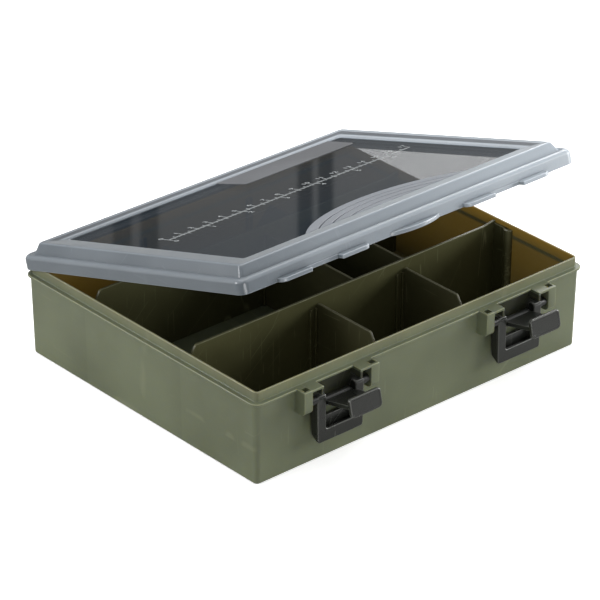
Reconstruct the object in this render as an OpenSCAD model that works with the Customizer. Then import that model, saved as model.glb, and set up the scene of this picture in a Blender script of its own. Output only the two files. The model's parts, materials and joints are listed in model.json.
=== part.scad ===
// Flat tackle box: an olive tub with a smoked, hinged window lid, moulded partitions, loose cross
// dividers and two draw latches on the front. The front is -Y. The origin is the middle of the base.
// The lid is drawn open, the levers hang down and the hooks stand out, as in the rest pose.

/* [Tub] */
// Width over the flange
tub_w = 232; // [215:1:250]
// Depth over the flange
tub_d = 190.6; // [180:1:205]
// Height of the flange's upper face above the base
flange_z = 48; // [46:0.5:56]
// Thickness of the flange and of the plates over the latch ears
flange_t = 1.4; // [1:0.1:2]
// How far the flange stands out past the top of the wall
flange_out = 1.6; // [1:0.1:2.2]
// How far each outer wall leans in between the flange and the base
draft = 1.0; // [0.4:0.1:1.2]
// Wall thickness at the base
wall_t = 2.0; // [1.6:0.1:2.2]
// Floor thickness
floor_t = 2.0; // [1.5:0.1:3]
// Radius of the edge round the base
foot_r = 1.2; // [0.5:0.1:1.4]
// Height of the rim above the flange
rim_h = 5.6; // [4:0.1:5.8]
// Thickness of the rim
rim_t = 1.2; // [1:0.1:1.4]
// Distance of the rim's outer face from the flange's edge
rim_in = 2.8; // [2.5:0.1:3]
// Radius of the flange's corners, seen from above
corner_r = 5.2; // [5:0.1:7]

/* [Partitions] */
// Top of the two long partitions above the base
partition_z = 51; // [46:0.5:53]
// Thickness of the long partitions
partition_t = 1.6; // [1.2:0.1:2]
// Place of the front partition behind the middle of the tub
front_partition_y = -30; // [-36:1:-24]
// Place of the rear partition behind the middle of the tub
rear_partition_y = 49; // [44:1:52]
// Cut across the left top corner of a long partition, along its length
end_cut_run = 11; // [6:1:16]
// Cut across the left top corner of a long partition, downwards
end_cut_drop = 19; // [10:1:26]
// Length over which a long partition rises to meet the rim at its right end
end_rise_run = 8; // [4:1:16]
// Height of that rise
end_rise = 1.4; // [0.5:0.1:2]
// Top of the cross dividers above the base
divider_z = 46.6; // [40:0.5:48]
// Thickness of the cross dividers
divider_t = 1.5; // [1.2:0.1:2]
// Cut across a divider's top outer corner, along its length
divider_cut_run = 18; // [6:1:24]
// Cut across a divider's top outer corner, downwards
divider_cut_drop = 28; // [10:1:34]
// Places of the two front dividers from left to right
front_dividers = [-18, 44];
// Places of the two middle dividers from left to right
middle_dividers = [14, 50];
// Places of the two rear dividers from left to right
rear_dividers = [-38, 38];
// Width and reach of the ribs that guide the dividers
rib = 1.2; // [0.8:0.1:1.6]
// Top of the guide ribs above the base
rib_z = 44; // [36:0.5:46]
// Distance of the spare guide rib from each front divider
spare_rib = 5.4; // [4:0.1:8]
// Radius of the half-round post on the right wall
post_r = 2.8; // [2:0.1:3.5]
// Distance of the post in front of the front partition
post_gap = 11.4; // [8:0.1:16]
// Thickness of the flat land on the wall between the post and the partition
land_t = 1; // [0.6:0.1:1.4]

/* [Lid] */
// How far the lid is drawn open, in degrees
lid_open = 17.5; // [0:0.5:30]
// Distance of the skirt's outer face from the flange's edge
skirt_in = 0.3; // [0:0.1:0.5]
// Thickness of the skirt, the ledge and the window
lid_t = 1.8; // [1.4:0.1:2]
// Height of the ledge above the flange's upper face
ledge_h = 8.4; // [7.8:0.1:10]
// Radius of the skirt's upper edge
skirt_r = 2; // [1:0.1:2.4]
// Distance of the raised frame's foot from the flange's edge
frame_in = 4.6; // [4.2:0.1:5]
// Distance of the frame's crest from the flange's edge
crest_in = 8; // [7:0.1:9]
// Height of the crest above the flange's upper face
crest_h = 13.7; // [13:0.1:15]
// Width of the crest's level top
crest_w = 1; // [0.5:0.1:2]
// Corner radius of the raised frame's foot, seen from above
frame_r = 3; // [2:0.5:4]
// Corner radius of the crest, seen from above
crest_r = 2; // [1.5:0.5:3]
// Distance of the window from the flange's edge
window_in = 19.5; // [16:0.1:22]
// Height of the window's upper face above the flange's upper face
window_h = 12.2; // [11.6:0.1:12.6]
// Radii of the arc step's outer edge and of the grooves in it
arc_radii = [76, 70.1, 64.2, 57.6];
// How far the arc step reaches back over the window
arc_reach = 24.3; // [15:0.1:35]
// Height of the arc step and of the bare pad
step_h = 0.5; // [0.3:0.1:0.8]
// Width of the grooves in the arc step
groove_w = 0.9; // [0.6:0.1:1.4]
// Left and right ends of the bare pad
pad_x = [6, 88];
// Depth of the bare pad
pad_d = 23; // [15:1:30]
// How far the pad's left edge slants in towards the front
pad_slant = 3; // [0:0.5:6]

/* [Latches] */
// Distance of each latch from the middle of the front
latch_x = 63.4; // [58:0.1:70]
// Width over a pair of ears
ears_w = 50.6; // [48:0.1:54]
// Gap between the plates of a pair of ears
ears_gap = 25; // [24:0.1:28]
// How far the ears stand out from the flange's edge
ears_out = 6.2; // [6:0.1:8]
// Height of the ears
ears_h = 13.7; // [13.4:0.1:16]
// Thickness of the ears' outer webs
ear_t = 5.5; // [5:0.1:6.5]
// Thickness of the ears' short inner webs
ear_lip_t = 1.3; // [1:0.1:1.8]
// Depth of the ears' short inner webs
ear_lip_h = 5.1; // [4:0.1:5.2]
// Radius of the ears' lower front corners
ear_r = 3; // [1:0.5:5]
// Wall left outside each blind bore and each core hole
blind_t = 1.2; // [1:0.1:1.6]
// Width of the square core hole in each ear
core_w = 3.5; // [2.5:0.1:4]
// Floor of the core hole above the lever's bore
core_rise = 1.5; // [1:0.1:2.5]
// Lever pivot below the flange's upper face
lever_pivot_drop = 8.4; // [8.3:0.1:9]
// Lever pivot in front of the flange's edge
lever_pivot_out = 3.0; // [2.8:0.1:3.6]
// Width over the lever's two arms
lever_w = 30.6; // [29:0.1:32]
// Width of one arm
arm_w = 5.4; // [4.5:0.1:5.8]
// Length of the lever below its pivot
lever_h = 25.4; // [22:0.1:28]
// Height of the finger plate at the lever's foot
finger_h = 8.6; // [6:0.1:11]
// Thickness of the finger plate
finger_t = 2; // [1.6:0.1:3]
// Radius of the lever's knuckle
knuckle_r = 2.5; // [2.3:0.1:2.6]
// Distance of the lever's front face from its pivot
lever_face = 2.2; // [2:0.1:2.4]
// Depth of the lever's cheeks
cheek_d = 6.2; // [5.4:0.1:6.4]
// Depth taken off the cheeks' back low down, at the height of cheek_low
cheek_taper = 1.2; // [0.6:0.1:2]
// Height of the cheeks' low corner above the lever's foot
cheek_low = 3.5; // [3:0.5:6]
// Height of the cheeks' upper corner above the lever's foot
cheek_high = 8; // [7:0.5:12]
// Thickness of the panel between the cheeks
panel_t = 1.6; // [1.2:0.1:2]
// Height of that panel above the finger plate
panel_h = 5; // [4:0.5:6]
// Radius of the lever's stub axles
stub_r = 1.9; // [1.5:0.1:2]
// Radius of the collars beside the arms
collar_r = 2.3; // [2.2:0.1:2.4]
// Hook pivot below the lever pivot, with the lever hanging
hook_pivot_drop = 3.8; // [3.4:0.1:4.2]
// Hook pivot behind the lever pivot, with the lever hanging
hook_pivot_in = 1.2; // [0.8:0.1:1.4]
// Radius of the hook pins
hook_pin_r = 1.1; // [0.9:0.05:1.2]
// Wall left in each arm beyond the end of the hook pin's bore
pin_wall = 2; // [1:0.1:3]
// Radius of the hook's barrel
barrel_r = 2.4; // [2.2:0.1:2.5]
// Width of the hook's web
web_w = 18.6; // [16:0.1:18.8]
// Thickness of the hook's web
web_t = 2.4; // [2:0.1:2.6]
// Width of the hook's lip
lip_w = 21; // [20:0.1:23]
// Thickness of the hook's lip
lip_t = 2.4; // [2:0.1:3]
// Reach of the lip over the lid's ledge, from the hook pivot
lip_in = 5.4; // [5:0.1:5.6]
// Reach of the lip outwards, from the hook pivot
lip_out = 6.4; // [5:0.1:6.6]
// How far the hooks stand above level, in degrees
hook_rest = 13; // [5:1:20]
// Width of a lid tab over an ear
tab_w = 19.6; // [17:0.1:21]
// Reach of the tabs and of the finger lip
tab_out = 4.6; // [4:0.1:5]
// Length of the straight stretch beside a tab's round corner
tab_flat = 0.3; // [0.1:0.1:1]
// Thickness of the tabs and of the finger lip
tab_t = 2.2; // [1.8:0.1:2.6]
// Gap between the two tabs of a catch
tab_gap = 20.2; // [19.8:0.1:21]
// How far the strip between the tabs stands out from the skirt
strip_out = 0.4; // [0.2:0.1:0.5]
// Width of the finger lip in the middle of the lid's front
finger_lip_w = 34; // [28:1:40]

/* [Hinges] */
// Distance of each hinge from the middle of the back
hinge_x = 63.4; // [50:0.1:80]
// Hinge axis behind the flange's edge
hinge_out = 3.6; // [3.5:0.1:4]
// Hinge axis below the flange's upper face
hinge_drop = 0.4; // [0.2:0.1:0.6]
// Radius of the hinge knuckles
hinge_r = 3.3; // [3:0.1:3.4]
// Height of the arm that joins the lid's knuckle to the skirt
strap_h = 5.4; // [4:0.1:6]
// Length of the lid's knuckle
lid_knuckle = 22; // [16:0.5:28]
// Length of each of the tub's two knuckles
tub_knuckle = 9; // [7:0.5:12]
// Radius of the hinge pins
hinge_pin_r = 1.25; // [1:0.05:1.5]

/* [Fits] */
// Gap between pieces that move past each other
gap = 0.3; // [0.3:0.05:0.4]
// Radial running clearance of pins in bores
run = 0.06; // [0.03:0.01:0.09]
// Radial squeeze of a pin that is pressed in
press = 0.02; // [0.01:0.01:0.04]
// Gap on each side of a divider in its guides
slot_fit = 0.15; // [0.1:0.05:0.3]

/* [Hidden] */
$fn = 64;
corner_fn = 32; // facets round the corners of blended shapes
eps = 0.01;
skin = 0.1; // thickness of the plates that blended shapes run between
half_w = tub_w / 2;
half_d = tub_d / 2;
rim_top = flange_z + rim_h;
inner_top = rim_in + rim_t;
inner_foot = flange_out + draft + wall_t;
root = inner_foot - inner_top + eps;
hinge_y = half_d + hinge_out;
hinge_z = flange_z - hinge_drop;
hinge_gap = 2 * gap;
hinge_l = lid_knuckle + 2 * (tub_knuckle + hinge_gap);
lever_y = -half_d - lever_pivot_out;
lever_z = flange_z - lever_pivot_drop;
hook_y = lever_y + hook_pivot_in;
hook_z = lever_z - hook_pivot_drop;
ear_face = ears_w / 2 - ear_t;
ear_y = -half_d - ears_out;
skirt_z = flange_z + gap;
ledge_z = flange_z + ledge_h;
crest_z = flange_z + crest_h;
window_z = flange_z + window_h;
skirt_y = half_d - skirt_in;
lip_z = ledge_z + gap - hook_z;
hook_turn = 90 - hook_rest;
pin_bore_l = lever_w - 2 * pin_wall;
cheek_back = cheek_d - lever_face;
window_x = half_w - window_in;
window_y = half_d - window_in;

// Extrudes a (Y, Z) outline along X, centred on X = 0.
module along_x(length) {
    translate([-length / 2, 0, 0]) rotate([90, 0, 90]) linear_extrude(length) children();
}

// A rectangle with rounded corners, made of squares and circles so that its arcs stay true.
module round_rect(w, d, r) {
    square([w, d - 2 * r], center = true);
    square([w - 2 * r, d], center = true);
    for (x = [-1, 1], y = [-1, 1]) translate([x * (w / 2 - r), y * (d / 2 - r)]) circle(r);
}

// Carries an (inset, Z) outline round a rounded rectangle. Inset 0 is the outer edge.
module ring(w, d, r) {
    for (q = [0 : 3]) rotate(90 * q) {
        side = q % 2 == 0 ? w : d;
        across = q % 2 == 0 ? d : w;
        translate([0, -across / 2, 0]) along_x(side - 2 * r) children();
        translate([side / 2 - r, -across / 2 + r, 0]) rotate(-90)
            rotate_extrude(angle = 90) translate([r, 0]) mirror([1, 0]) children();
    }
}

// A thin rounded plate at height z, inset from the flange's edge; pairs of these are blended.
module sheet(inset, z, r) {
    translate([0, 0, z]) linear_extrude(skin)
        round_rect(tub_w - 2 * inset, tub_d - 2 * inset, r, $fn = corner_fn);
}

// Puts its children at both mirrored places.
module both_sides(x) {
    for (s = [-1, 1]) translate([s * x, 0, 0]) children();
}

// Turns its children from the closed lid to the lid as it is drawn.
module opened() {
    translate([0, hinge_y, hinge_z]) rotate([-lid_open, 0, 0])
        translate([0, -hinge_y, -hinge_z]) children();
}

// ---- tub ----

module wall_outline() {
    base = flange_out + draft;
    polygon([[base + foot_r, 0], [base, foot_r], [flange_out, flange_z - flange_t],
             [0, flange_z - flange_t], [0, flange_z], [rim_in, flange_z],
             [rim_in, rim_top - rim_t / 2], [inner_top, rim_top - rim_t / 2], [inner_foot, 0]]);
    translate([base + foot_r, foot_r]) circle(foot_r);
    translate([rim_in + rim_t / 2, rim_top - rim_t / 2]) circle(rim_t / 2);
}

// Outline of a wall-to-wall partition in (X, Z). Its left top corner is cut and its right end rises.
module partition(y) {
    foot_x = half_w - inner_foot + root;
    top_x = half_w - inner_top + eps;
    translate([0, y + partition_t / 2, 0]) rotate([90, 0, 0]) linear_extrude(partition_t)
        polygon([[-foot_x, floor_t - eps], [foot_x, floor_t - eps], [top_x, partition_z + end_rise],
                 [top_x - end_rise_run, partition_z], [-top_x + end_cut_run, partition_z],
                 [-top_x, partition_z - end_cut_drop]]);
}

// An upright rib at x that stands out of a face at y. Way is +1 or -1, and depth is what it sinks in.
module guide_rib(x, y, way, depth) {
    translate([x - rib / 2, way > 0 ? y - depth : y - rib, floor_t - eps])
        cube([rib, rib + depth, rib_z - floor_t]);
}

// Two guide ribs with a divider's room between them.
module guides(x, y, way, depth) {
    for (s = [-1, 1]) guide_rib(x + s * (divider_t / 2 + slot_fit + rib / 2), y, way, depth);
}

// The half-round post on the right wall and the flat land between it and the front partition.
module post() {
    wall_x = half_w - inner_foot;
    post_y = front_partition_y - post_gap;
    translate([wall_x + root, post_y, 0]) intersection() {
        cylinder(r = post_r + root, h = partition_z);
        translate([-post_r - root, -post_r, 0]) cube([post_r + root, 2 * post_r, partition_z]);
    }
    translate([wall_x - land_t, post_y, floor_t - eps])
        cube([land_t + root, post_gap, partition_z - floor_t]);
}

module ear_outline() {
    // side view of an ear in (Y, Z): square at the top, round at the lower front corner
    lower = flange_z - ears_h;
    depth = ears_out + flange_out + eps;
    translate([ear_y, lower + ear_r]) square([depth, ears_h - ear_r]);
    translate([ear_y + ear_r, lower]) square([depth - ear_r, ear_r]);
    translate([ear_y + ear_r, lower + ear_r]) circle(ear_r);
}

module ears() {
    plate_w = (ears_w - ears_gap) / 2;
    difference() {
        union() {
            both_sides((ears_w - ear_t) / 2) along_x(ear_t) ear_outline();
            both_sides((ears_gap + plate_w) / 2) translate([-plate_w / 2, ear_y, flange_z - flange_t])
                cube([plate_w, ears_out + eps, flange_t]);
            both_sides((ears_gap + ear_lip_t) / 2)
                translate([-ear_lip_t / 2, ear_y, flange_z - ear_lip_h])
                cube([ear_lip_t, ears_out + flange_out + eps, ear_lip_h]);
        }
        translate([0, lever_y, lever_z]) rotate([0, 90, 0])
            cylinder(r = stub_r + run, h = ears_w - 2 * blind_t, center = true);
        both_sides(ears_w / 2 - blind_t - core_w / 2)
            translate([-core_w / 2, -half_d - ears_out / 2 - core_w / 2, lever_z + stub_r + core_rise])
            cube([core_w, core_w, ears_h]);
    }
}

module tub_knuckles() {
    both_sides((lid_knuckle + tub_knuckle) / 2 + hinge_gap) {
        translate([0, hinge_y, hinge_z]) rotate([0, 90, 0])
            cylinder(r = hinge_r, h = tub_knuckle, center = true);
        // the arm below leaves the knuckle's lower back at a 3:4:5 slope
        along_x(tub_knuckle) polygon([[half_d - flange_out - eps, flange_z - ears_h],
            [hinge_y + hinge_r * 4 / 5, hinge_z - hinge_r * 3 / 5], [hinge_y, hinge_z],
            [half_d - eps, flange_z], [half_d - flange_out - eps, flange_z]]);
    }
}

module tub() {
    color("#6b7058") difference() {
        union() {
            ring(tub_w, tub_d, corner_r) wall_outline();
            base = flange_out + draft + foot_r;
            linear_extrude(floor_t) round_rect(tub_w - 2 * base, tub_d - 2 * base, corner_r - base);
            partition(front_partition_y);
            partition(rear_partition_y);
            post();
            front_face = front_partition_y - partition_t / 2;
            middle_face = front_partition_y + partition_t / 2;
            rear_face = rear_partition_y - partition_t / 2;
            back_face = rear_partition_y + partition_t / 2;
            wall_face = half_d - inner_foot;
            for (x = front_dividers) {
                guides(x, front_face, -1, eps);
                guides(x, -wall_face, 1, root);
                guide_rib(x - spare_rib, front_face, -1, eps);
            }
            for (x = middle_dividers) {
                guides(x, middle_face, 1, eps);
                guides(x, rear_face, -1, eps);
            }
            for (x = rear_dividers) {
                guides(x, back_face, 1, eps);
                guides(x, wall_face, -1, root);
            }
            both_sides(latch_x) ears();
            both_sides(hinge_x) tub_knuckles();
        }
        // bores for the pressed-in hinge pins
        both_sides(hinge_x) translate([0, hinge_y, hinge_z]) rotate([0, 90, 0])
            cylinder(r = hinge_pin_r - press, h = hinge_l + 2 * gap, center = true);
    }
}

// ---- lid ----

module skirt_outline() {
    translate([skirt_in, skirt_z]) square([lid_t, ledge_z - skirt_r - skirt_z]);
    intersection() {
        translate([skirt_in + skirt_r, ledge_z - skirt_r]) circle(skirt_r);
        translate([skirt_in, ledge_z - skirt_r]) square([skirt_r, skirt_r]);
    }
}

// A tab on the skirt's foot. Its outer end is round in plan and its inner end is square.
module tab(out) {
    round_r = out - tab_flat;
    translate([tab_gap / 2, -skirt_y - out, skirt_z]) linear_extrude(tab_t) {
        square([tab_w - round_r, out + eps]);
        translate([0, round_r]) square([tab_w, out + eps - round_r]);
        intersection() {
            translate([tab_w - round_r, round_r]) circle(round_r);
            square([tab_w, round_r + eps]);
        }
    }
}

module catch() {
    for (s = [0, 1]) mirror([s, 0, 0]) tab(tab_out);
    translate([-tab_gap / 2 - eps, -skirt_y - strip_out, skirt_z])
        cube([tab_gap + 2 * eps, strip_out + eps, tab_t]);
}

// A shallow lip, round in plan, to lift the lid by.
module finger_lip() {
    bow = (finger_lip_w * finger_lip_w / 4 + tab_out * tab_out) / (2 * tab_out);
    translate([0, 0, skirt_z]) linear_extrude(tab_t) intersection() {
        translate([0, bow - skirt_y - tab_out]) circle(bow, $fn = 180);
        translate([-finger_lip_w / 2, -skirt_y - tab_out]) square([finger_lip_w, tab_out + eps]);
    }
}

// The arc step on the window's front, with its grooves.
module arc_step() {
    centre_y = -window_y + arc_reach - arc_radii[0];
    intersection() {
        translate([0, centre_y, window_z - eps]) difference() {
            cylinder(r = arc_radii[0], h = step_h, $fn = 180);
            for (i = [1 : len(arc_radii) - 1]) translate([0, 0, -eps]) difference() {
                cylinder(r = arc_radii[i], h = step_h + 3 * eps, $fn = 180);
                cylinder(r = arc_radii[i] - groove_w, h = step_h + 3 * eps, $fn = 180);
            }
        }
        translate([-window_x, -window_y, window_z - step_h])
            cube([2 * window_x, 2 * window_y, 3 * step_h]);
    }
}

module lid_body() {
    ring(tub_w, tub_d, corner_r) skirt_outline();
    edge = skirt_in + skirt_r;
    difference() {
        union() {
            translate([0, 0, ledge_z - lid_t]) linear_extrude(lid_t)
                round_rect(tub_w - 2 * edge, tub_d - 2 * edge, corner_r - edge);
            hull() {
                sheet(frame_in, ledge_z - lid_t, frame_r);
                sheet(frame_in, ledge_z - skin, frame_r);
                sheet(crest_in, crest_z - skin, crest_r);
            }
        }
        // the hollow under the frame and the window
        hull() {
            sheet(frame_in + lid_t, ledge_z - lid_t - skin, crest_r);
            sheet(crest_in + lid_t, window_z - lid_t - skin, crest_r);
        }
        // the dip from the crest down to the window
        hull() {
            sheet(crest_in + crest_w, crest_z, crest_r);
            sheet(window_in, window_z, crest_r);
        }
    }
    arc_step();
    translate([0, 0, window_z - eps]) linear_extrude(step_h)
        polygon([[pad_x[0], window_y], [pad_x[1], window_y], [pad_x[1], window_y - pad_d],
                 [pad_x[0] + pad_slant, window_y - pad_d]]);
    both_sides(latch_x) catch();
    finger_lip();
    both_sides(hinge_x) along_x(lid_knuckle)
        polygon([[skirt_y - eps, skirt_z], [skirt_y - eps, skirt_z + strap_h],
                 [hinge_y + hinge_r * 7 / 25, hinge_z + hinge_r * 24 / 25], [hinge_y, hinge_z]]);
    both_sides(hinge_x) translate([0, hinge_y, hinge_z]) rotate([0, 90, 0])
        cylinder(r = hinge_r, h = lid_knuckle, center = true);
}

module lid() {
    color("#8f979c") opened() difference() {
        lid_body();
        both_sides(hinge_x) translate([0, hinge_y, hinge_z]) rotate([0, 90, 0])
            cylinder(r = hinge_pin_r + run, h = hinge_l, center = true);
    }
}

module hinge_pin(side) {
    color("silver") translate([side * hinge_x, hinge_y, hinge_z]) rotate([0, 90, 0])
        cylinder(r = hinge_pin_r, h = hinge_l, center = true);
}

// ---- latches ----

// Side view of an arm and its cheek in (Y, Z), measured from the lever's pivot.
module arm_outline() {
    circle(knuckle_r);
    polygon([[-lever_face, 0], [-lever_face, -lever_h], [-lever_face + finger_t, -lever_h],
             [cheek_back - cheek_taper, -lever_h + cheek_low],
             [cheek_back - cheek_taper / 3, -lever_h + cheek_high],
             [cheek_back, -2 * hook_pivot_drop], [cheek_back - gap, -hook_pivot_drop],
             [knuckle_r - eps, 0]]);
}

module lever(side) {
    arm_x = (lever_w - arm_w) / 2;
    stub_l = ears_w / 2 - blind_t - gap;
    color("#242524") translate([side * latch_x, lever_y, lever_z]) difference() {
        union() {
            both_sides(arm_x) along_x(arm_w) arm_outline();
            translate([-lever_w / 2 + eps, -lever_face, -lever_h])
                cube([lever_w - 2 * eps, finger_t, finger_h]);
            // the panel that joins the cheeks behind the finger plate
            translate([-arm_x, cheek_back - cheek_taper - panel_t, -lever_h + cheek_low])
                cube([2 * arm_x, panel_t, finger_h + panel_h - cheek_low]);
            for (s = [-1, 1]) rotate([0, 90 * s, 0]) {
                cylinder(r = stub_r, h = stub_l);
                cylinder(r = collar_r, h = ear_face - gap);
            }
        }
        // the open gap between the arms at the pivot
        cube([lever_w - 2 * arm_w, 2 * cheek_d, 3 * collar_r], center = true);
        translate([0, hook_pivot_in, -hook_pivot_drop]) rotate([0, 90, 0])
            cylinder(r = hook_pin_r - press, h = pin_bore_l, center = true);
    }
}

module hook_pin(side) {
    color("silver") translate([side * latch_x, hook_y, hook_z]) rotate([0, 90, 0])
        cylinder(r = hook_pin_r, h = pin_bore_l - gap, center = true);
}

// The hook is drawn standing up, as it lies with the latch closed, and then turned outwards.
module hook(side) {
    color("#2b2d2c") translate([side * latch_x, hook_y, hook_z]) rotate([hook_turn, 0, 0]) difference() {
        union() {
            rotate([0, 90, 0]) cylinder(r = barrel_r, h = web_w, center = true);
            translate([-web_w / 2, -web_t / 2, 0]) cube([web_w, web_t, lip_z + lip_t / 2]);
            translate([-lip_w / 2, -lip_out, lip_z]) cube([lip_w, lip_in + lip_out, lip_t]);
        }
        rotate([0, 90, 0]) cylinder(r = hook_pin_r + run, h = web_w + 2 * gap, center = true);
    }
}

// ---- dividers ----

// Outline of a divider in (Y, Z) between two faces, with its top outer corner cut at cut_end.
module divider(x, from_y, to_y, cut_end) {
    a = from_y + slot_fit;
    b = to_y - slot_fit;
    run_cut = min(divider_cut_run, (b - a) / 2);
    cut_z = divider_z - divider_cut_drop;
    front_top = cut_end < 0 ? [[a + run_cut, divider_z], [a, cut_z]] : [[a, divider_z]];
    back_top = cut_end > 0 ? [[b, cut_z], [b - run_cut, divider_z]] : [[b, divider_z]];
    color("#5e6349") translate([x, 0, 0]) along_x(divider_t)
        polygon(concat([[a, floor_t], [b, floor_t]], back_top, front_top));
}

module front_divider(i) {
    divider(front_dividers[i], -half_d + inner_foot, front_partition_y - partition_t / 2, -1);
}

module middle_divider(i) {
    divider(middle_dividers[i], front_partition_y + partition_t / 2, rear_partition_y - partition_t / 2, 0);
}

module rear_divider(i) {
    divider(rear_dividers[i], rear_partition_y + partition_t / 2, half_d - inner_foot, 1);
}

tub();
lid();
hinge_pin(-1);  // hinge_pin_left
hinge_pin(1);  // hinge_pin_right
lever(-1);  // lever_left
lever(1);  // lever_right
hook(-1);  // hook_left
hook(1);  // hook_right
hook_pin(-1);  // hook_pin_left
hook_pin(1);  // hook_pin_right
front_divider(0);  // front_divider_left
front_divider(1);  // front_divider_right
middle_divider(0);  // middle_divider_left
middle_divider(1);  // middle_divider_right
rear_divider(0);  // rear_divider_left
rear_divider(1);  // rear_divider_right
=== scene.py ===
import json
import math
import bmesh
import bpy
import numpy as np
from mathutils import Matrix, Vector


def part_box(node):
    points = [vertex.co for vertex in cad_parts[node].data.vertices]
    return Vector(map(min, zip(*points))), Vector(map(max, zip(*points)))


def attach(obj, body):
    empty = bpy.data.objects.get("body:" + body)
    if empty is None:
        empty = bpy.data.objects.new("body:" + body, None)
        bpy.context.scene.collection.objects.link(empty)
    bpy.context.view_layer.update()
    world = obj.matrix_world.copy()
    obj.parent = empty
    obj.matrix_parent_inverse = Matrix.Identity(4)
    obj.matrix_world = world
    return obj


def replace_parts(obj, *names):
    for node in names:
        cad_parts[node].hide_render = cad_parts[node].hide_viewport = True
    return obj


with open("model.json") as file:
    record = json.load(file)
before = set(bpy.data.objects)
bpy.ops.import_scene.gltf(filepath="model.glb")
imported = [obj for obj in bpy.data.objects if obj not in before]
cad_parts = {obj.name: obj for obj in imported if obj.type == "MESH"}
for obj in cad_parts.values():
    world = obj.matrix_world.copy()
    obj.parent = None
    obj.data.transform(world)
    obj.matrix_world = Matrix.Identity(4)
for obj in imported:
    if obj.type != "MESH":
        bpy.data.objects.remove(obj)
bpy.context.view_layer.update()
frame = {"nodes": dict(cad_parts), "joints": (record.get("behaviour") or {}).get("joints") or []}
mm = 0.001
print("frame loaded:", len(frame["nodes"]), "nodes")

# places taken from the frame, in millimetres
tubLow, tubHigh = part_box("tub")
joints = {j["name"]: j for j in frame["joints"]}
hingeY, hingeZ = (v / mm for v in joints["lid_hinge"]["pos_m"][1:])
leverX, leverY, leverZ = (v / mm for v in joints["lever_right_turn"]["pos_m"])
hookY, hookZ = (v / mm for v in joints["hook_right_turn"]["pos_m"][1:])
lidOpen = math.radians(-joints["lid_hinge"]["range_deg"][0])  # how far the lid stands open at rest
hookTurn = math.radians(-joints["hook_right_turn"]["range_deg"][0])  # from upright to the rest pose


# A line through the points with each corner turned into an arc. With unit normal n turning from one side's normal
# to the next, a point of the arc is centre + s r n, where s is +1 at a left turn and -1 at a right turn. Gives the
# places, the outward normals of a counter-clockwise outline, each place's corner and its share of that arc.
def bentLine(points, radii, closed=False, steps=6):
    p = np.asarray(points, float)
    n = len(p)
    r = np.broadcast_to(np.asarray(radii, float), (n,))
    d1, d2 = p - np.roll(p, 1, 0), np.roll(p, -1, 0) - p
    if not closed:
        d1[0], d2[-1] = d2[0], d1[-1]
    d1 = d1 / np.linalg.norm(d1, axis=1)[:, None]
    d2 = d2 / np.linalg.norm(d2, axis=1)[:, None]
    turn = np.arctan2(d1[:, 0] * d2[:, 1] - d1[:, 1] * d2[:, 0], (d1 * d2).sum(1))
    side = np.where(turn < 0, -1.0, 1.0)
    n1 = np.stack([d1[:, 1], -d1[:, 0]], 1)
    centre = p - d1 * (r * np.tan(np.abs(turn) / 2))[:, None] - (side * r)[:, None] * n1
    t = np.linspace(0, 1, steps + 1)
    angle = np.arctan2(n1[:, 1], n1[:, 0])[:, None] + turn[:, None] * t
    normal = np.stack([np.cos(angle), np.sin(angle)], 2)
    place = centre[:, None] + (side * r)[:, None, None] * normal
    keep = (np.arange(steps + 1) == 0) | ((np.abs(turn) > 1e-6) & (r > 0))[:, None]
    which = np.broadcast_to(np.arange(n)[:, None], keep.shape)
    return place[keep], normal[keep], which[keep], np.broadcast_to(t, keep.shape)[keep]


# One closed surface: rings of points with capped ends, and for each point its wear, which is partly painted edge
# highlight, and its painted light, a glow on the tub and dark lines on the lid. The two slots are the materials of its
# sides and of its caps.
def shell(grid, wearAndSheen=0.0, paintedLightShade=0.0, slots=(0, 0)):
    shape = grid.shape[:2]
    spread = [np.broadcast_to(v if np.ndim(v) != 1 else np.asarray(v)[:, None], shape) for v in (wearAndSheen, paintedLightShade)]
    return {"grid": grid, "wearAndSheen": spread[0], "paintedLightShade": spread[1], "slots": slots}


boxCornerSteps = 10  # steps round each corner of the tub and the lid


# Carries a section of (inset, height) round a rounded rectangle. At perimeter place k the point is
# (sx (halfW - inset - r) + r nx, sy (halfD - inset - r) + r ny, height). One radius r is given for each point of
# the section, or one for inset 0, which then shrinks with the inset.
def carried(section, halfW, halfD, radii, smallest=0.35):
    inset, height = np.asarray(section, float).T
    a = np.concatenate([q * np.pi / 2 + np.linspace(0, np.pi / 2, boxCornerSteps + 1) for q in range(4)])
    quarter = np.repeat(np.arange(4), boxCornerSteps + 1)
    sx = np.array([1, -1, -1, 1])[quarter]
    sy = np.array([1, 1, -1, -1])[quarter]
    r = np.maximum(radii - inset if np.ndim(radii) == 0 else np.asarray(radii, float), smallest)[:, None]
    x = sx * (halfW - inset[:, None] - r) + r * np.cos(a)
    y = sy * (halfD - inset[:, None] - r) + r * np.sin(a)
    return np.stack([x, y, np.broadcast_to(height[:, None], x.shape)], 2)


def farSides(near=0.0):  # for each perimeter place, 1 on the back and right sides and near elsewhere
    one, turn = np.ones(boxCornerSteps + 1), np.linspace(1, near, boxCornerSteps + 1)
    return np.concatenate([one, turn, near * one, turn[::-1]])


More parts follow.
